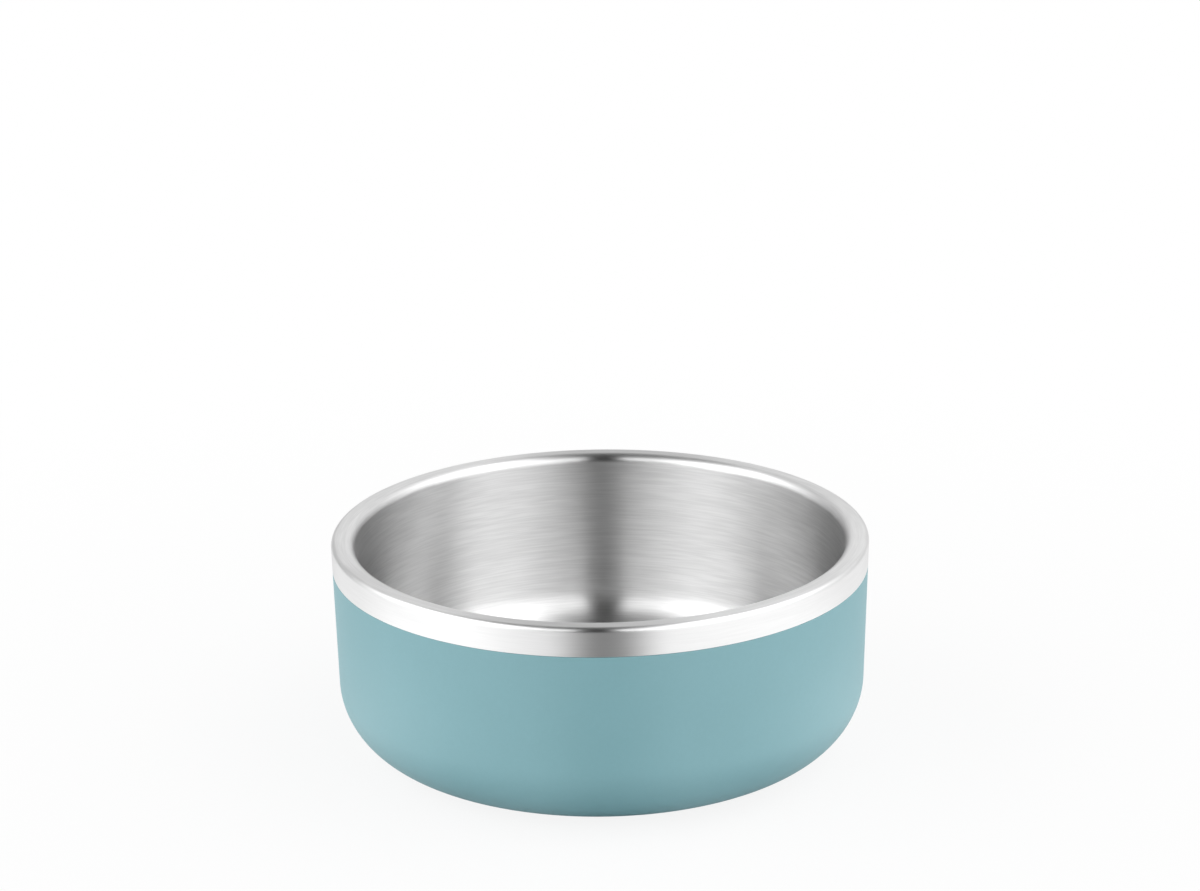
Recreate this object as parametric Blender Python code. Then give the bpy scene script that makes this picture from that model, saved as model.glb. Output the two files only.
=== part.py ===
# Double-wall steel pet bowl. Metres, +Z up, origin on the ground at the centre of the foot.
#
# A brushed inner bowl hangs in a coated outer shell. Its lip runs out over the wall and folds down as a short
# skirt. The top of the shell is necked in behind that skirt, so both lie in one smooth surface. A seal closes
# the rim, and a rubber ring sits in a channel that is pressed into the base.

import math

import bmesh
import bpy

# Overall form
RIM_DIAMETER = 0.171        # across the outside of the rim
BOWL_HEIGHT = 0.070         # from the ground to the top of the lip
WALL_TAPER = 1.55           # degrees that the walls lean in towards the base

# Sheet and fits
LINER_SHEET = 0.0006        # steel of the inner bowl
SHELL_SHEET = 0.0006        # steel of the outer shell
SEAT_GAP = 0.0003           # clearance between pieces that touch

# Rim of the inner bowl
LIP_WIDTH = 0.0074          # from the outside of the rim to the inner wall
LIP_BEND = 0.0024           # inside radius of the bend from the wall to the lip
FOLD_BEND = 0.001           # inside radius of the fold from the lip to the skirt
SKIRT_HEIGHT = 0.0092       # from the top of the lip to the lower edge of the skirt

# Floors
FLOOR_ROUND = 0.014         # radius between the inner wall and the bowl's floor
BASE_ROUND = 0.0226         # radius between the outer wall and the base
FLOOR_GAP = 0.0063          # air between the bowl's floor and the channel in the base

# Shoulder of the outer shell, under the skirt
SHOULDER_ROUND = 0.0003     # radius of its edge and of the corner behind it

# Seal in the fold of the rim
SEAL_WIDTH = 0.003
SEAL_HEIGHT = 0.002

# Foot ring and the channel that holds it
FOOT_STANDOFF = 0.001       # from the ground to the base
FOOT_INSET = 0.0046         # from the edge of the flat base to the ring
FOOT_WIDTH = 0.010
CHANNEL_DEPTH = 0.002
CHANNEL_BEND = 0.0004       # inside radius of the channel's bends
FOOT_EDGE = 0.0008          # radius of the ring's lower edges
TREAD_WIDTH = 0.002         # groove round the underside of the ring
TREAD_DEPTH = 0.0006

# Fineness of the round surfaces
SEGMENTS = 56               # around the axis
CHORD_ERROR = 0.00012       # between an arc of a profile and its chords


def wall_radius(z):
    """Radius of the bowl's outside at height z, on the straight part of the wall."""
    return RIM_DIAMETER / 2 - (BOWL_HEIGHT - z) * math.tan(math.radians(WALL_TAPER))


def inside_radius(z):
    """Radius of the inner wall at height z."""
    return wall_radius(z) - LIP_WIDTH


def behind_skirt(z):
    """Radius at height z of what sits behind the skirt."""
    return wall_radius(z) - LINER_SHEET - SEAT_GAP


def fillet(before, corner, after):
    """Points of the arc that rounds a corner (r, z, radius). Two arcs on one side share its length by radius."""
    r, z, radius = corner
    if radius < CHORD_ERROR:
        return [(r, z)]
    to_before = (before[0] - r, before[1] - z)
    to_after = (after[0] - r, after[1] - z)
    length_before = math.hypot(*to_before)
    length_after = math.hypot(*to_after)
    a = (to_before[0] / length_before, to_before[1] / length_before)
    b = (to_after[0] / length_after, to_after[1] / length_after)
    half_angle = math.acos(a[0] * b[0] + a[1] * b[1]) / 2
    room_before = length_before * radius / (radius + before[2])
    room_after = length_after * radius / (radius + after[2])
    reach = min(radius / math.tan(half_angle), room_before, room_after)
    radius = reach * math.tan(half_angle)
    away = radius / math.sin(half_angle) / math.hypot(a[0] + b[0], a[1] + b[1])
    centre = (r + (a[0] + b[0]) * away, z + (a[1] + b[1]) * away)
    start = math.atan2(z + a[1] * reach - centre[1], r + a[0] * reach - centre[0])
    turn = math.copysign(math.pi - 2 * half_angle, a[1] * b[0] - a[0] * b[1])
    chord_angle = 2 * math.acos(1 - CHORD_ERROR / radius)
    steps = max(2, math.ceil(abs(turn) / chord_angle))
    angles = [start + turn * i / steps for i in range(steps + 1)]
    return [(centre[0] + radius * math.cos(t), centre[1] + radius * math.sin(t)) for t in angles]


def rounded_line(corners):
    """An open profile through the corners, each rounded by its own radius."""
    points = [corners[0][:2]]
    for before, corner, after in zip(corners, corners[1:], corners[2:]):
        points += fillet(before, corner, after)
    points.append(corners[-1][:2])
    return points


def rounded_loop(corners):
    """A closed profile through the corners, each rounded by its own radius."""
    points = []
    for i, corner in enumerate(corners):
        points += fillet(corners[i - 1], corner, corners[(i + 1) % len(corners)])
    return points


def offset(corners, distance):
    """The corners moved to the right of the line's direction, with radii that keep the bends concentric."""
    directions = []
    for here, there in zip(corners, corners[1:]):
        length = math.dist(here[:2], there[:2])
        directions.append(((there[0] - here[0]) / length, (there[1] - here[1]) / length))
    moved = []
    for i, (r, z, radius) in enumerate(corners):
        d1 = directions[max(i - 1, 0)]
        d2 = directions[min(i, len(directions) - 1)]
        scale = distance / (1 + d1[0] * d2[0] + d1[1] * d2[1])
        left_turn = d1[0] * d2[1] - d1[1] * d2[0] > 0
        new_radius = radius + distance if left_turn else max(radius - distance, 0)
        moved.append((r + (d1[1] + d2[1]) * scale, z - (d1[0] + d2[0]) * scale, new_radius))
    return moved


def sheet(corners, thickness):
    """Outline of a sheet: its face through the corners, and its back to the right of that face."""
    return rounded_line(corners) + rounded_line(offset(corners, thickness))[::-1]


def revolve(name, outline, material):
    """Turns an outline about Z. An edge that lies on the axis is left out."""
    profile = bmesh.new()
    verts = [profile.verts.new((r, 0, z)) for r, z in outline]
    for here, there in zip(verts, verts[1:] + verts[:1]):
        if max(here.co.x, there.co.x) > SEAT_GAP:
            profile.edges.new((here, there))
    bmesh.ops.spin(
        profile,
        geom=profile.verts[:] + profile.edges[:],
        axis=(0, 0, 1),
        angle=math.tau,
        steps=SEGMENTS,
        use_merge=True,
    )
    bmesh.ops.remove_doubles(profile, verts=profile.verts, dist=1e-6)
    bmesh.ops.recalc_face_normals(profile, faces=profile.faces)
    mesh = bpy.data.meshes.new(name)
    profile.to_mesh(mesh)
    profile.free()
    mesh.shade_smooth()
    mesh.set_sharp_from_angle(angle=math.radians(35))
    mesh.materials.append(material)
    piece = bpy.data.objects.new(name, mesh)
    bpy.context.collection.objects.link(piece)
    return piece


def finish(name, color, metallic, roughness):
    """A plain material of the given colour."""
    material = bpy.data.materials.new(name)
    material.use_nodes = True
    shader = material.node_tree.nodes["Principled BSDF"]
    shader.inputs["Base Color"].default_value = (*color, 1)
    shader.inputs["Metallic"].default_value = metallic
    shader.inputs["Roughness"].default_value = roughness
    material.diffuse_color = (*color, 1)
    return material


for old in list(bpy.data.objects):
    bpy.data.objects.remove(old, do_unlink=True)

# Heights that the pieces share
base_z = FOOT_STANDOFF
channel_z = base_z + CHANNEL_DEPTH
floor_z = channel_z + SHELL_SHEET + FLOOR_GAP + LINER_SHEET
skirt_z = BOWL_HEIGHT - SKIRT_HEIGHT
shoulder_z = skirt_z - SEAT_GAP
seal_top = BOWL_HEIGHT - LINER_SHEET - SEAT_GAP
neck_z = seal_top - SEAL_HEIGHT - SEAT_GAP

# The ring's place on the flat of the base
flat_radius = wall_radius(base_z) - BASE_ROUND / math.tan(math.radians(90 + WALL_TAPER) / 2)
foot_outside = flat_radius - FOOT_INSET
foot_inside = foot_outside - FOOT_WIDTH
channel_outside = foot_outside + SEAT_GAP
channel_inside = foot_inside - SEAT_GAP

# Inner bowl: floor, wall, lip and skirt, from the axis outwards along the face that shows
liner_face = [
    (0, floor_z, 0),
    (inside_radius(floor_z), floor_z, FLOOR_ROUND),
    (inside_radius(BOWL_HEIGHT), BOWL_HEIGHT, LINER_SHEET + LIP_BEND),
    (wall_radius(BOWL_HEIGHT), BOWL_HEIGHT, LINER_SHEET + FOLD_BEND),
    (wall_radius(skirt_z), skirt_z, 0),
]
brushed_steel = finish("brushed steel", (0.68, 0.68, 0.67), 1, 0.3)
inner_bowl = revolve("inner_bowl", sheet(liner_face, LINER_SHEET), brushed_steel)

# Outer shell: neck behind the skirt, shoulder, wall, base and channel, down the outside to the axis
shell_face = [
    (behind_skirt(neck_z), neck_z, 0),
    (behind_skirt(shoulder_z), shoulder_z, SHOULDER_ROUND),
    (wall_radius(shoulder_z), shoulder_z, SHOULDER_ROUND),
    (wall_radius(base_z), base_z, BASE_ROUND),
    (channel_outside, base_z, SHELL_SHEET + CHANNEL_BEND),
    (channel_outside, channel_z, CHANNEL_BEND),
    (channel_inside, channel_z, CHANNEL_BEND),
    (channel_inside, base_z, SHELL_SHEET + CHANNEL_BEND),
    (0, base_z, 0),
]
teal_coat = finish("teal powder coat", (0.22, 0.41, 0.45), 0, 0.5)
outer_shell = revolve("outer_shell", sheet(shell_face, SHELL_SHEET), teal_coat)

# Rim seal: lies on the shell's top edge and fills the fold up to the lip
seal_bottom = seal_top - SEAL_HEIGHT
seal_inside = behind_skirt(seal_top) - SEAL_WIDTH
seal_section = [
    (seal_inside, seal_top, 0),
    (behind_skirt(seal_top), seal_top, FOLD_BEND),
    (behind_skirt(seal_bottom), seal_bottom, 0),
    (seal_inside, seal_bottom, 0),
]
clear_silicone = finish("clear silicone", (0.70, 0.71, 0.70), 0, 0.45)
rim_seal = revolve("rim_seal", rounded_loop(seal_section), clear_silicone)

# Foot ring: fills the channel and stands on the ground, with a tread groove round its underside
foot_top = channel_z - SEAT_GAP
tread_middle = (foot_inside + foot_outside) / 2
foot_section = [
    (foot_inside, foot_top, CHANNEL_BEND),
    (foot_outside, foot_top, CHANNEL_BEND),
    (foot_outside, 0, FOOT_EDGE),
    (tread_middle + TREAD_WIDTH / 2, 0, 0),
    (tread_middle + TREAD_WIDTH / 2, TREAD_DEPTH, 0),
    (tread_middle - TREAD_WIDTH / 2, TREAD_DEPTH, 0),
    (tread_middle - TREAD_WIDTH / 2, 0, 0),
    (foot_inside, 0, FOOT_EDGE),
]
dark_rubber = finish("dark rubber", (0.03, 0.03, 0.032), 0, 0.8)
foot_ring = revolve("foot_ring", rounded_loop(foot_section), dark_rubber)

pet_bowl = bpy.data.objects.new("pet_bowl", None)
pet_bowl.empty_display_size = RIM_DIAMETER / 2
bpy.context.collection.objects.link(pet_bowl)
for piece in (inner_bowl, outer_shell, rim_seal, foot_ring):
    piece.parent = pet_bowl
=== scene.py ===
import math

import bmesh
import bpy
from mathutils import Matrix, Vector


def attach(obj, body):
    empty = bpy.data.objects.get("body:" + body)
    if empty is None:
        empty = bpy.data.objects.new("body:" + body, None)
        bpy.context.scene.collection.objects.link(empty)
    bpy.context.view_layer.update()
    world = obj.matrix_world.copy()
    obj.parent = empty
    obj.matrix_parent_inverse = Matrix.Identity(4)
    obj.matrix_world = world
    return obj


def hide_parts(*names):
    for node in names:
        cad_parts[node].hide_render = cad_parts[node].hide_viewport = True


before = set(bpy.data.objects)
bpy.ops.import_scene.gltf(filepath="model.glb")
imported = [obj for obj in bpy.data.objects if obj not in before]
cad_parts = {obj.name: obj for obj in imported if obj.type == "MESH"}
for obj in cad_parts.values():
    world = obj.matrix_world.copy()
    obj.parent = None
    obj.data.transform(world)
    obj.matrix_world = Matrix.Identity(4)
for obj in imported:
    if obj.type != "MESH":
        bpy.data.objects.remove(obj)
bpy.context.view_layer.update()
print("frame loaded:", sorted(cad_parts))


# sizes that every turned piece shares, metres
bowlForm = {
    "rimRadius": 0.0855,
    "height": 0.070,
    "taper": 1.55,  # degrees, the walls lean in towards the base
    "lipWidth": 0.0074,
    "skirt": 0.0092,  # bare band below the lip
    "baseHeight": 0.001,
    "floorHeight": 0.0105,
}

# how finely the pieces are turned
turning = {
    "segments": 240,  # round the axis
    "near": 2e-6,  # metres, points closer than this are one
    "arcProfile": 0.5,  # a bevel that is a true arc
    "sharpFrom": 32.0,  # degrees, a sharper bend keeps its edge
    "flatWeight": 50,
}


def outsideRadius(z):
    lean = math.tan(math.radians(bowlForm["taper"]))
    return bowlForm["rimRadius"] - (bowlForm["height"] - z) * lean


def insideRadius(z):
    return outsideRadius(z) - bowlForm["lipWidth"]


# turning: a circle is extruded and scaled from ring to ring, like a sheet over a former
# a ring is its radius, its height, the radius of its bend and the steps of that bend

def nothingSelected():
    if bpy.context.mode != "OBJECT":
        bpy.ops.object.mode_set(mode="OBJECT")
    bpy.ops.object.select_all(action="DESELECT")


def pickRing(piece, radius, height):
    def onRing(point):
        away = abs(math.hypot(point.x, point.y) - radius) + abs(point.z - height)
        return away < turning["near"]

    mesh = bmesh.from_edit_mesh(piece.data)
    for edge in mesh.edges:
        edge.select_set(all(onRing(end.co) for end in edge.verts))
    mesh.select_flush(True)
    bmesh.update_edit_mesh(piece.data)


def turnPiece(name, rings, solid):
    nothingSelected()
    radius, height = rings[0][:2]
    bpy.ops.mesh.primitive_circle_add(
        vertices=turning["segments"],
        radius=radius,
        location=(0, 0, height),
        fill_type="TRIFAN" if solid else "NOTHING",
    )
    piece = bpy.context.object
    piece.name = piece.data.name = name
    bpy.ops.object.transform_apply(location=True, rotation=True, scale=True)
    bpy.ops.object.mode_set(mode="EDIT")
    bpy.ops.mesh.select_mode(type="EDGE")
    bpy.ops.mesh.select_all(action="DESELECT")
    pickRing(piece, radius, height)
    path = list(rings) if solid else list(rings) + [rings[0]]
    for here, there in zip(path, path[1:]):
        lift = there[1] - here[1]
        grow = there[0] / here[0]
        bpy.ops.mesh.extrude_region_move(TRANSFORM_OT_translate={"value": (0, 0, lift)})
        bpy.ops.transform.resize(value=(grow, grow, 1), center_override=(0, 0, there[1]))
    if solid:  # the last ring runs in to the axis
        bpy.ops.mesh.extrude_region_move(TRANSFORM_OT_translate={"value": (0, 0, 0)})
        bpy.ops.mesh.merge(type="CENTER")
    bpy.ops.mesh.select_all(action="SELECT")
    bpy.ops.mesh.remove_doubles(threshold=turning["near"])
    bpy.ops.mesh.normals_make_consistent(inside=False)
    roundRings(piece, rings, solid)
    bpy.ops.object.mode_set(mode="OBJECT")
    smoothTurning(piece)
    return piece


def roundRings(piece, rings, solid):
    count = len(rings)
    for i, (radius, height, bend, steps) in enumerate(rings):
        if bend <= 0:
            continue
        before = rings[i - 1][:2] if i or not solid else (0, height)
        after = rings[(i + 1) % count][:2] if i < count - 1 or not solid else (0, height)
        into = Vector((radius - before[0], height - before[1]))
        outOf = Vector((after[0] - radius, after[1] - height))
        reach = bend * math.tan(into.angle(outOf) / 2)
        bpy.ops.mesh.select_all(action="DESELECT")
        pickRing(piece, radius, height)
        bpy.ops.mesh.bevel(
            offset_type="OFFSET",
            offset=reach,
            segments=steps,
            profile=turning["arcProfile"],
            affect="EDGES",
            clamp_overlap=False,
        )


def smoothTurning(piece):
    nothingSelected()
    piece.select_set(True)
    bpy.context.view_layer.objects.active = piece
    bpy.ops.object.shade_smooth_by_angle(angle=math.radians(turning["sharpFrom"]))
    weigh = piece.modifiers.new("flatsStayFlat", "WEIGHTED_NORMAL")
    weigh.mode = "FACE_AREA"
    weigh.weight = turning["flatWeight"]
    weigh.keep_sharp = True
    bpy.ops.object.modifier_apply(modifier=weigh.name)


def setPiece(piece, node, finish):
    piece.data.materials.clear()
    piece.data.materials.append(finish)
    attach(piece, "root")
    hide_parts(node)
    print("piece", piece.name, "stands for", node, "faces", len(piece.data.polygons))


# shader writing: a wire is a socket that can stand in a sum
noiseSpan = {
    "low": 0.3,  # most of a noise lies between these two
    "middle": 0.5,
    "high": 0.7,
}


class Wire:
    def __init__(self, tree, socket=None):
        self.tree = tree
        self.socket = socket

    def node(self, kind, settings=None, sockets=None):
        made = self.tree.nodes.new(kind)
        for key, value in (settings or {}).items():
            setattr(made, key, value)
        for key, value in (sockets or {}).items():
            if isinstance(value, Wire):
                self.tree.links.new(value.socket, made.inputs[key])
            else:
                made.inputs[key].default_value = value
        shown = [s for s in made.outputs if s.enabled]
        return Wire(self.tree, shown[0] if shown else None)

    def out(self, name):
        return Wire(self.tree, self.socket.node.outputs[name])

    def sum(self, operation, first, second=0.0, third=0.0):
        return self.node(
            "ShaderNodeMath",
            {"operation": operation},
            {0: first, 1: second, 2: third},
        )

    def __add__(self, other):
        return self.sum("ADD", self, other)

    def __radd__(self, other):
        return self.sum("ADD", other, self)

    def __sub__(self, other):
        return self.sum("SUBTRACT", self, other)

    def __rsub__(self, other):
        return self.sum("SUBTRACT", other, self)

    def __mul__(self, other):
        return self.sum("MULTIPLY", self, other)

    def __rmul__(self, other):
        return self.sum("MULTIPLY", other, self)

    def __truediv__(self, other):
        return self.sum("DIVIDE", self, other)

    def __rtruediv__(self, other):
        return self.sum("DIVIDE", other, self)

    def root(self):
        return self.sum("SQRT", self)

    def stretch(self, low, high, toLow=0.0, toHigh=1.0):
        return self.node(
            "ShaderNodeMapRange",
            {"interpolation_type": "SMOOTHSTEP"},
            {"Value": self, "From Min": low, "From Max": high, "To Min": toLow, "To Max": toHigh},
        )

    def spread(self):  # a noise drawn out to 0 and 1
        return self.stretch(noiseSpan["low"], noiseSpan["high"])

    def swing(self):  # a noise about 0
        return self - noiseSpan["middle"]

    def blend(self, dark, light):
        return self.node(
            "ShaderNodeMix",
            {"data_type": "RGBA", "blend_type": "MIX"},
            {0: self, 6: dark, 7: light},
        ).out(2)


def emptyTree(holder):
    holder.use_nodes = True
    holder.node_tree.nodes.clear()
    return Wire(holder.node_tree)


def newFinish(name):
    finish = bpy.data.materials.new(name)
    return finish, emptyTree(finish)


def putOut(wire, surface, kind="ShaderNodeOutputMaterial"):
    wire.node(kind, {}, {"Surface": surface})


def putSurface(wire, sockets):
    putOut(wire, wire.node("ShaderNodeBsdfPrincipled", {}, sockets))


def placeOf(wire):
    return wire.node("ShaderNodeTexCoord").out("Object")


def partsOf(wire, vector):
    parts = wire.node("ShaderNodeSeparateXYZ", {}, {"Vector": vector})
    return parts.out("X"), parts.out("Y"), parts.out("Z")


def reachOf(x, y):  # from the axis
    return (x * x + y * y).root()


def turnOf(wire, x, y):  # degrees round the axis, 0 towards the camera, growing to the right
    return wire.sum("ARCTAN2", x, 0 - y) * math.degrees(1)


def noise(wire, where, size, detail, harshness=0.5):
    return wire.node(
        "ShaderNodeTexNoise",
        {"noise_dimensions": "3D"},
        {"Vector": where, "Scale": 1 / size, "Detail": detail, "Roughness": harshness},
    ).out("Fac")


def weighed(shares, wires):
    total = shares[0] * wires[0]
    for share, wire in zip(shares[1:], wires[1:]):
        total = total + share * wire
    return total


def relief(wire, height, strength, depth):
    return wire.node(
        "ShaderNodeBump",
        {},
        {"Strength": strength, "Distance": depth, "Height": height},
    )


# brushed stainless steel, its strokes running round the axis
steelLook = {
    "dark": (0.695, 0.695, 0.695, 1),
    "light": (0.795, 0.795, 0.795, 1),
    "paintedLitBandDark": (0.860, 0.860, 0.860, 1),  # painted light: the band outside takes a lighter steel colour than the bowl inside, which is darker as painted shade
    "paintedLitBandLight": (0.895, 0.895, 0.895, 1),
    "bandFrom": 0.0843,  # metres from the axis
    "bandTo": 0.0851,
    "hair": {"length": 0.010, "width": 0.0005, "detail": 0.0},  # metres
    "line": {"length": 0.018, "width": 0.0012, "detail": 1.0},
    "patch": {"length": 0.024, "width": 0.007, "detail": 2.0},
    "mark": {"length": 0.014, "width": 0.0005, "detail": 0.0},  # a few brighter scratches
    "markFrom": 0.74,
    "markTo": 0.86,
    "toneShares": (0.35, 0.35, 0.30),  # of hair, line and patch
    "markTone": 0.5,
    "roughness": 0.29,
    "lineRough": 0.015,
    "patchRough": 0.02,
    "markRough": 0.03,
    "anisotropy": 0.97,
    "quarterTurn": 0.25,  # the smear lies across the strokes
    "strokeShares": (0.5, 0.5),  # of hair and line in the relief
    "strokeStrength": 0.3,
    "strokeDepth": 0.000005,
}


def brushedSteel():
    look = steelLook
    finish, wire = newFinish("brushedSteel")
    x, y, z = partsOf(wire, placeOf(wire))
    reach = reachOf(x, y)
    across = reach + z  # equal along every circle, grows along the section

    def strokes(length, width, detail):
        where = wire.node(
            "ShaderNodeCombineXYZ",
            {},
            {"X": x / length, "Y": y / length, "Z": across / width},
        )
        return noise(wire, where, 1.0, detail)

    hair = strokes(**look["hair"])
    line = strokes(**look["line"])
    patch = strokes(**look["patch"])
    mark = strokes(**look["mark"]).stretch(look["markFrom"], look["markTo"])
    tone = weighed(look["toneShares"], (hair, line, patch)).spread() + look["markTone"] * mark
    # painted light on the outer band, painted shade inside the bowl: one steel in a lit and a
    # shaded copy
    paintedLitBand = reach.stretch(look["bandFrom"], look["bandTo"])
    rough = look["roughness"] + look["lineRough"] * line.swing()
    rough = rough + look["patchRough"] * patch.swing() + look["markRough"] * mark
    height = weighed(look["strokeShares"], (hair, line))
    putSurface(wire, {
        "Base Color": paintedLitBand.blend(
            tone.blend(look["dark"], look["light"]),
            tone.blend(look["paintedLitBandDark"], look["paintedLitBandLight"]),
        ),
        "Metallic": 1.0,
        "Roughness": rough,
        "Anisotropic": look["anisotropy"],
        "Anisotropic Rotation": look["quarterTurn"],
        "Normal": relief(wire, height, look["strokeStrength"], look["strokeDepth"]),
    })
    return finish


# satin powder coat
coatLook = {
    "deep": (0.147, 0.341, 0.380, 1),
    "pale": (0.159, 0.362, 0.405, 1),
    "speck": {"size": 0.0004, "detail": 2.0},  # metres
    "peel": {"size": 0.0014, "detail": 1.0},
    "cloud": {"size": 0.03, "detail": 2.0},
    "harshness": 0.55,
    "toneShares": (0.4, 0.2, 0.4),  # of speck, peel and cloud
    "roughness": 0.5,
    "speckRough": 0.05,
    "index": 2.0,
    "peelShares": (0.4, 0.6),  # of speck and peel in the relief
    "peelStrength": 0.2,
    "peelDepth": 0.00002,
}


def powderCoat():
    look = coatLook
    finish, wire = newFinish("tealPowderCoat")
    place = placeOf(wire)
    speck = noise(wire, place, harshness=look["harshness"], **look["speck"])
    peel = noise(wire, place, harshness=look["harshness"], **look["peel"])
    cloud = noise(wire, place, harshness=look["harshness"], **look["cloud"])
    tone = weighed(look["toneShares"], (speck, peel, cloud)).spread()
    height = weighed(look["peelShares"], (speck, peel))
    putSurface(wire, {
        "Base Color": tone.blend(look["deep"], look["pale"]),
        "Roughness": look["roughness"] + look["speckRough"] * speck.spread().swing(),
        "IOR": look["index"],
        "Normal": relief(wire, height, look["peelStrength"], look["peelDepth"]),
    })
    return finish


# moulded rubber of the foot
rubberLook = {
    "deep": (0.020, 0.020, 0.021, 1),
    "pale": (0.045, 0.045, 0.046, 1),
    "pores": {"size": 0.0006, "detail": 3.0},  # metres
    "bloom": {"size": 0.012, "detail": 3.0},
    "toneShares": (0.4, 0.6),  # of pores and bloom
    "roughness": 0.72,
    "poreRough": 0.12,
    "poreStrength": 0.4,
    "poreDepth": 0.0001,
}


def mouldedRubber():
    look = rubberLook
    finish, wire = newFinish("mouldedRubber")
    place = placeOf(wire)
    pores = noise(wire, place, **look["pores"])
    bloom = noise(wire, place, **look["bloom"])
    tone = weighed(look["toneShares"], (pores, bloom)).spread()
    putSurface(wire, {
        "Base Color": tone.blend(look["deep"], look["pale"]),
        "Roughness": look["roughness"] + look["poreRough"] * pores.swing(),
        "Normal": relief(wire, pores, look["poreStrength"], look["poreDepth"]),
    })
    return finish


# silicone of the rim seal
siliconeLook = {
    "deep": (0.60, 0.61, 0.60, 1),
    "pale": (0.74, 0.75, 0.74, 1),
    "haze": {"size": 0.004, "detail": 3.0},  # metres
    "roughness": 0.42,
    "hazeRough": 0.1,
    "hazeStrength": 0.2,
    "hazeDepth": 0.0001,
}


def clearSilicone():
    look = siliconeLook
    finish, wire = newFinish("clearSilicone")
    haze = noise(wire, placeOf(wire), **look["haze"])
    putSurface(wire, {
        "Base Color": haze.spread().blend(look["deep"], look["pale"]),
        "Roughness": look["roughness"] + look["hazeRough"] * haze.swing(),
        "Normal": relief(wire, haze, look["hazeStrength"], look["hazeDepth"]),
    })
    return finish


steel = brushedSteel()
coat = powderCoat()
rubber = mouldedRubber()
silicone = clearSilicone()
print("finishes written")


# inner bowl: floor, wall, lip and folded skirt, then back along the hidden side
liner = {
    "sheet": 0.0006,
    "floorRound": 0.014,
    "floorSteps": 28,
    "lipRound": 0.003,
    "lipSteps": 14,
    "foldRound": 0.0016,
    "foldSteps": 10,
    "edgeRound": 0.00012,
    "edgeSteps": 3,
    "hiddenSteps": 6,  # the hidden side is coarser
    "hiddenFloorSteps": 20,
}


def makeLiner():
    sheet = liner["sheet"]
    top = bowlForm["height"]
    underTop = top - sheet
    floor = bowlForm["floorHeight"]
    underFloor = floor - sheet
    skirt = top - bowlForm["skirt"]
    dish = liner["floorRound"]
    lip = liner["lipRound"]
    fold = liner["foldRound"]
    edge = liner["edgeRound"]
    rings = [
        (insideRadius(floor), floor, dish, liner["floorSteps"]),
        (insideRadius(top), top, lip, liner["lipSteps"]),
        (outsideRadius(top), top, fold, liner["foldSteps"]),
        (outsideRadius(skirt), skirt, edge, liner["edgeSteps"]),
        (outsideRadius(skirt) - sheet, skirt, edge, liner["edgeSteps"]),
        (outsideRadius(underTop) - sheet, underTop, fold - sheet, liner["hiddenSteps"]),
        (insideRadius(underTop) + sheet, underTop, lip - sheet, liner["hiddenSteps"]),
        (insideRadius(underFloor) + sheet, underFloor, dish + sheet, liner["hiddenFloorSteps"]),
    ]
    piece = turnPiece("brushedLiner", rings, True)
    setPiece(piece, "inner_bowl", steel)


# outer shell: base with its pressed channel, wall, shoulder and neck, then back down the inside
shell = {
    "sheet": 0.0006,
    "baseRound": 0.0226,
    "baseSteps": 32,
    "hiddenBaseSteps": 24,
    "shoulderGap": 0.00006,  # below the skirt
    "shoulderRound": 0.0002,
    "hiddenShoulderRound": 0.0006,
    "neckGap": 0.0003,
    "neckTop": 0.0668,
    "neckRound": 0.0001,
    "neckSteps": 2,
    "channelOutside": 0.05734,
    "channelInside": 0.04674,
    "channelHeight": 0.003,
    "channelRound": 0.001,
    "channelCorner": 0.0004,
    "mouthSteps": 6,
    "bendSteps": 4,  # of the other small bends
}


def makeShell():
    sheet = shell["sheet"]
    base = bowlForm["baseHeight"]
    aboveBase = base + sheet
    shoulder = bowlForm["height"] - bowlForm["skirt"] - shell["shoulderGap"]
    underShoulder = shoulder - sheet
    neckIn = liner["sheet"] + shell["neckGap"]
    neck = shell["neckTop"]
    outer = shell["channelOutside"]
    inner = shell["channelInside"]
    roof = shell["channelHeight"]
    aboveRoof = roof + sheet
    mouth = shell["channelRound"]
    corner = shell["channelCorner"]
    step = shell["shoulderRound"]
    tip = shell["neckRound"]
    heel = shell["baseRound"]
    few = shell["bendSteps"]
    rings = [
        (inner, base, mouth, shell["mouthSteps"]),
        (inner, roof, corner, few),
        (outer, roof, corner, few),
        (outer, base, mouth, shell["mouthSteps"]),
        (outsideRadius(base), base, heel, shell["baseSteps"]),
        (outsideRadius(shoulder), shoulder, step, few),
        (outsideRadius(shoulder) - neckIn, shoulder, step, few),
        (outsideRadius(neck) - neckIn, neck, tip, shell["neckSteps"]),
        (outsideRadius(neck) - neckIn - sheet, neck, tip, shell["neckSteps"]),
        (
            outsideRadius(underShoulder) - neckIn - sheet,
            underShoulder,
            shell["hiddenShoulderRound"],
            few,
        ),
        (outsideRadius(underShoulder) - sheet, underShoulder, 0, 1),  # stays sharp
        (outsideRadius(aboveBase) - sheet, aboveBase, heel - sheet, shell["hiddenBaseSteps"]),
        (outer + sheet, aboveBase, corner, few),
        (outer + sheet, aboveRoof, mouth, few),
        (inner - sheet, aboveRoof, mouth, few),
        (inner - sheet, aboveBase, corner, few),
    ]
    piece = turnPiece("tealShell", rings, True)
    setPiece(piece, "outer_shell", coat)


# foot ring: a moulded rubber ring with a tread groove
foot = {
    "outside": 0.05704,
    "width": 0.010,
    "top": 0.0027,
    "topRound": 0.0004,
    "topSteps": 4,
    "edgeRound": 0.0008,
    "edgeSteps": 8,
    "treadWidth": 0.002,
    "treadDepth": 0.0006,
    "treadRound": 0.0002,
    "treadSteps": 3,
}


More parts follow.
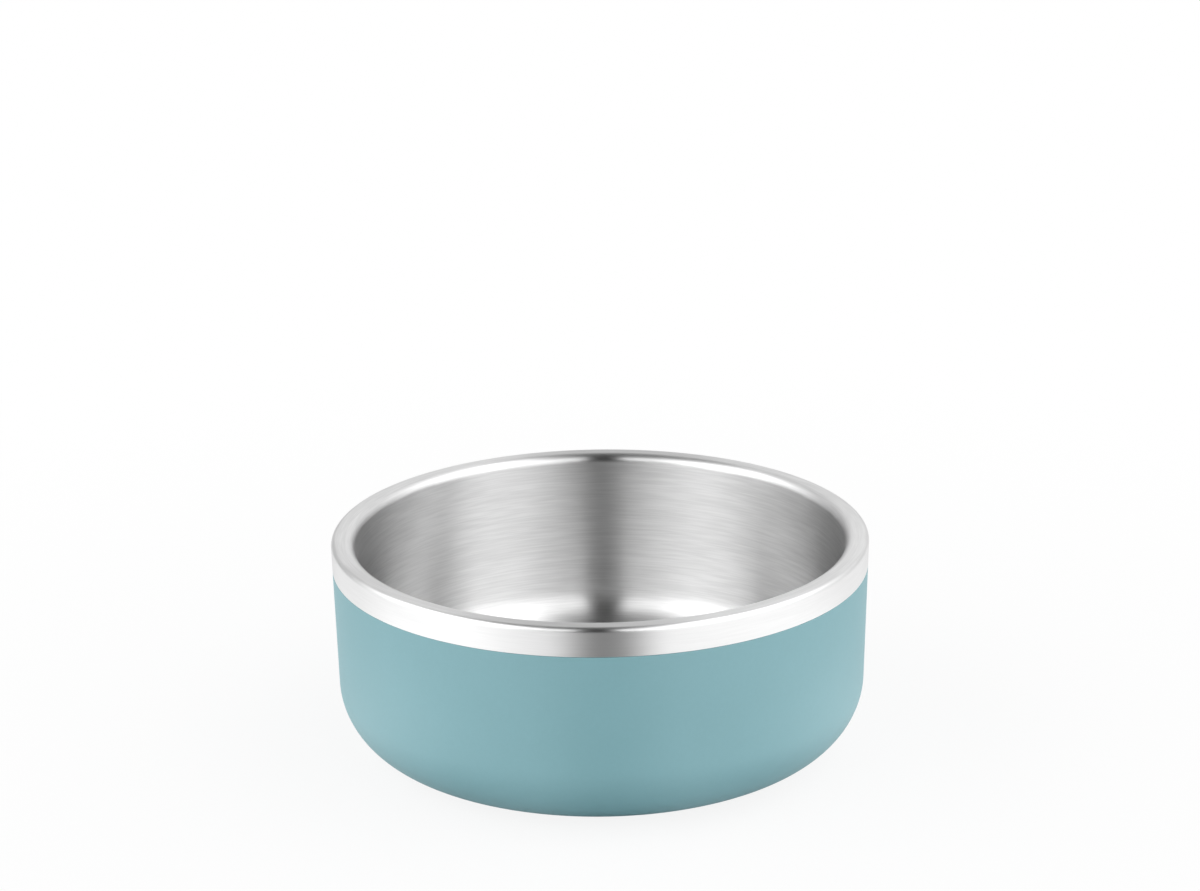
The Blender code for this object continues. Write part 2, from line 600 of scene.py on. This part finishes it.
def makeFoot():
    outside = foot["outside"]
    inside = outside - foot["width"]
    middle = (outside + inside) / 2
    half = foot["treadWidth"] / 2
    top = (foot["top"], foot["topRound"], foot["topSteps"])
    edge = (0, foot["edgeRound"], foot["edgeSteps"])
    tread = (0, foot["treadRound"], foot["treadSteps"])
    groove = (foot["treadDepth"], foot["treadRound"], foot["treadSteps"])
    rings = [
        (inside, *top),
        (outside, *top),
        (outside, *edge),
        (middle + half, *tread),
        (middle + half, *groove),
        (middle - half, *groove),
        (middle - half, *tread),
        (inside, *edge),
    ]
    piece = turnPiece("rubberFoot", rings, False)
    setPiece(piece, "foot_ring", rubber)


# rim seal: lies on the shell's top edge, inside the fold
seal = {
    "width": 0.003,
    "bottom": 0.0671,
    "top": 0.0691,
    "inset": 0.0009,  # from the outside of the rim
    "innerRound": 0.0003,
    "innerSteps": 3,
    "foldRound": 0.001,
    "foldSteps": 5,
    "lowRound": 0.0001,
    "lowSteps": 2,
}


def makeSeal():
    low = seal["bottom"]
    high = seal["top"]
    outLow = outsideRadius(low) - seal["inset"]
    outHigh = outsideRadius(high) - seal["inset"]
    inside = outHigh - seal["width"]
    rings = [
        (inside, high, seal["innerRound"], seal["innerSteps"]),
        (outHigh, high, seal["foldRound"], seal["foldSteps"]),
        (outLow, low, seal["lowRound"], seal["lowSteps"]),
        (inside, low, seal["innerRound"], seal["innerSteps"]),
    ]
    piece = turnPiece("rimSeal", rings, False)
    setPiece(piece, "rim_seal", silicone)


makeLiner()
makeShell()
makeFoot()
makeSeal()
print("pieces turned")


# studio: a pale floor in a white tent, with the gap that the camera looks through
floorLook = {
    "radius": 4.0,
    "sides": 96,
    "drop": 0.0002,  # metres below the foot
    "colour": (0.760, 0.760, 0.760, 1),
    "nearWhite": 0.88,  # share of plain white close to the bowl, the rest takes the shadow
    "fadeFrom": 0.14,  # metres from the axis, where the floor starts to go to plain white
    "fadeTo": 0.45,
    "frontMiddle": 2.2,  # degrees, as the tent's gap: reflections see a darker floor there
    "frontInner": 2.0,
    "frontOuter": 23.0,
    "frontDark": 0.7,
    "backFrom": 115.0,  # degrees, painted shade: the floor's glow in reflections is a little darker behind the bowl
    "backTo": 160.0,
    "backPaintedShade": 0.2,
    "underFrom": 0.070,  # metres, and in the shade under the bowl
    "underTo": 0.125,
    "underDark": 0.60,
    "sideFrom": 32.0,  # degrees, painted light: a brighter patch in the floor's glow on both sides
    "sideFull": 72.0,
    "sideFade": 80.0,
    "sideTo": 115.0,
    "closeFrom": 0.13,  # metres, how far out the patches reach
    "closeTo": 0.19,
    "sidePaintedLight": 0.75,
}


def makeFloor():
    look = floorLook
    nothingSelected()
    bpy.ops.mesh.primitive_circle_add(
        vertices=look["sides"],
        radius=look["radius"],
        fill_type="NGON",
        location=(0, 0, -look["drop"]),
    )
    ground = bpy.context.object
    ground.name = "floor"
    finish, wire = newFinish("paleFloor")
    x, y, z = partsOf(wire, placeOf(wire))
    reach = reachOf(x, y)
    turn = turnOf(wire, x, y)
    off = wire.sum("ABSOLUTE", turn - look["frontMiddle"])
    around = wire.sum("ABSOLUTE", turn)
    away = reach.stretch(look["fadeFrom"], look["fadeTo"], look["nearWhite"], 1.0)
    under = reach.stretch(look["underFrom"], look["underTo"], 1 - look["underDark"], 1.0)
    front = off.stretch(look["frontInner"], look["frontOuter"], 1 - look["frontDark"], 1.0)
    behind = around.stretch(look["backFrom"], look["backTo"], 1.0, 1 - look["backPaintedShade"])
    ahead = off.stretch(look["sideFrom"], look["sideFull"])
    past = off.stretch(look["sideFade"], look["sideTo"], 1.0, 0.0)
    close = reach.stretch(look["closeFrom"], look["closeTo"], look["sidePaintedLight"], 0.0)
    # the glow that reflections see: painted shade in front, behind and under the bowl, and
    # painted light patches at the sides
    level = front * behind * under * (1 + ahead * past * close)
    path = wire.node("ShaderNodeLightPath")
    seen = path.out("Is Camera Ray")
    mirrored = wire.sum("MAXIMUM", path.out("Is Glossy Ray"), path.out("Is Transmission Ray"))
    matte = wire.node("ShaderNodeBsdfDiffuse", {}, {"Color": look["colour"]})
    glow = wire.node(
        "ShaderNodeEmission",
        {},
        {"Color": seen + mirrored * level, "Strength": 1.0},
    )
    putOut(wire, wire.node(
        "ShaderNodeMixShader",
        {},
        {0: away * seen + mirrored, 1: matte, 2: glow},
    ))
    ground.data.materials.append(finish)


# soft boxes, angles in degrees: turn is 0 towards the camera and grows to the right,
# rise is above the horizon, wide, above and below say how fast the light falls off
softBoxes = {
    "left": {"turn": -92, "rise": 43, "wide": 36, "above": 16, "below": 48, "level": 1.75},
    "front": {"turn": -20, "rise": 45, "wide": 85, "above": 11, "below": 20, "level": 2.0},
    "right": {"turn": 90, "rise": 66, "wide": 46, "above": 9, "below": 54, "level": 2.5},
    "back": {"turn": 174, "rise": 19, "wide": 42, "above": 31, "below": 24, "level": 0.87},
    "leftFill": {"turn": -54, "rise": 12, "wide": 20, "above": 32, "below": 27, "level": 1.45},
    "rightFill": {"turn": 38, "rise": 16, "wide": 34, "above": 18, "below": 27, "level": 1.14},
}
tentLook = {
    "colour": (1, 1, 1, 1),
    "level": 0.08,
    "gapMiddle": -2.3,  # degrees, the dark opening that the camera looks through
    "gapInner": 7.0,
    "gapOuter": 12.5,
    "gapInnerLow": 16.0,  # the same at the horizon
    "gapOuterLow": 28.0,
    "gapNarrowBy": 28.0,  # the rise at which it is narrow
}


def makeTent():
    look = tentLook
    tent = bpy.data.worlds.new("studioTent")
    bpy.context.scene.world = tent
    wire = emptyTree(tent)
    x, y, z = partsOf(wire, wire.node("ShaderNodeTexCoord").out("Generated"))
    turn = turnOf(wire, x, y)
    rise = wire.sum("ARCSINE", z) * math.degrees(1)
    level = look["level"]
    for box in softBoxes.values():
        sideways = wire.sum("WRAP", turn - box["turn"], 180.0, -180.0) / box["wide"]
        upwards = wire.sum("MAXIMUM", rise - box["rise"], 0.0) / box["above"]
        downwards = wire.sum("MINIMUM", rise - box["rise"], 0.0) / box["below"]
        falloff = sideways * sideways + upwards * upwards + downwards * downwards
        level = level + box["level"] * wire.sum("EXPONENT", 0 - falloff)
    off = wire.sum("ABSOLUTE", turn - look["gapMiddle"])
    inner = rise.stretch(0, look["gapNarrowBy"], look["gapInnerLow"], look["gapInner"])
    outer = rise.stretch(0, look["gapNarrowBy"], look["gapOuterLow"], look["gapOuter"])
    level = level * off.stretch(inner, outer)
    seen = wire.node("ShaderNodeLightPath").out("Is Camera Ray")
    backdrop = wire.node(
        "ShaderNodeBackground",
        {},
        {"Color": look["colour"], "Strength": level * (1 - seen) + seen},
    )
    putOut(wire, backdrop, "ShaderNodeOutputWorld")


# the camera, metres and degrees
viewer = {
    "distance": 1.130,
    "elevation": 21.203,
    "aimHeight": 0.035,
    "yaw": 0.020,
    "pitch": -18.120,
    "roll": -0.709,
    "focalPixels": 3511.16,
    "framePixels": 1200,
    "sensor": 36.0,  # millimetres
}


def makeCamera():
    distance = viewer["distance"]
    rise = math.radians(viewer["elevation"])
    yaw = math.radians(viewer["yaw"])
    pitch = math.radians(viewer["pitch"])
    roll = math.radians(viewer["roll"])
    ahead = Vector((
        math.sin(yaw) * math.cos(pitch),
        math.cos(yaw) * math.cos(pitch),
        math.sin(pitch),
    ))
    right = ahead.cross(Vector((0, 0, 1))).normalized()
    up = right.cross(ahead)
    turnedRight = right * math.cos(roll) + up * math.sin(roll)
    turnedUp = up * math.cos(roll) - right * math.sin(roll)
    data = bpy.data.cameras.new("viewer")
    data.sensor_width = viewer["sensor"]
    data.lens = viewer["focalPixels"] / viewer["framePixels"] * viewer["sensor"]
    camera = bpy.data.objects.new("viewer", data)
    bpy.context.scene.collection.objects.link(camera)
    turn = Matrix((turnedRight, turnedUp, -ahead)).transposed()
    stand = (0, -distance * math.cos(rise), viewer["aimHeight"] + distance * math.sin(rise))
    camera.matrix_world = Matrix.Translation(stand) @ turn.to_4x4()
    bpy.context.scene.camera = camera


makeFloor()
makeTent()
makeCamera()
bpy.context.scene.view_settings.view_transform = "Standard"
print("studio set")

nothingSelected()
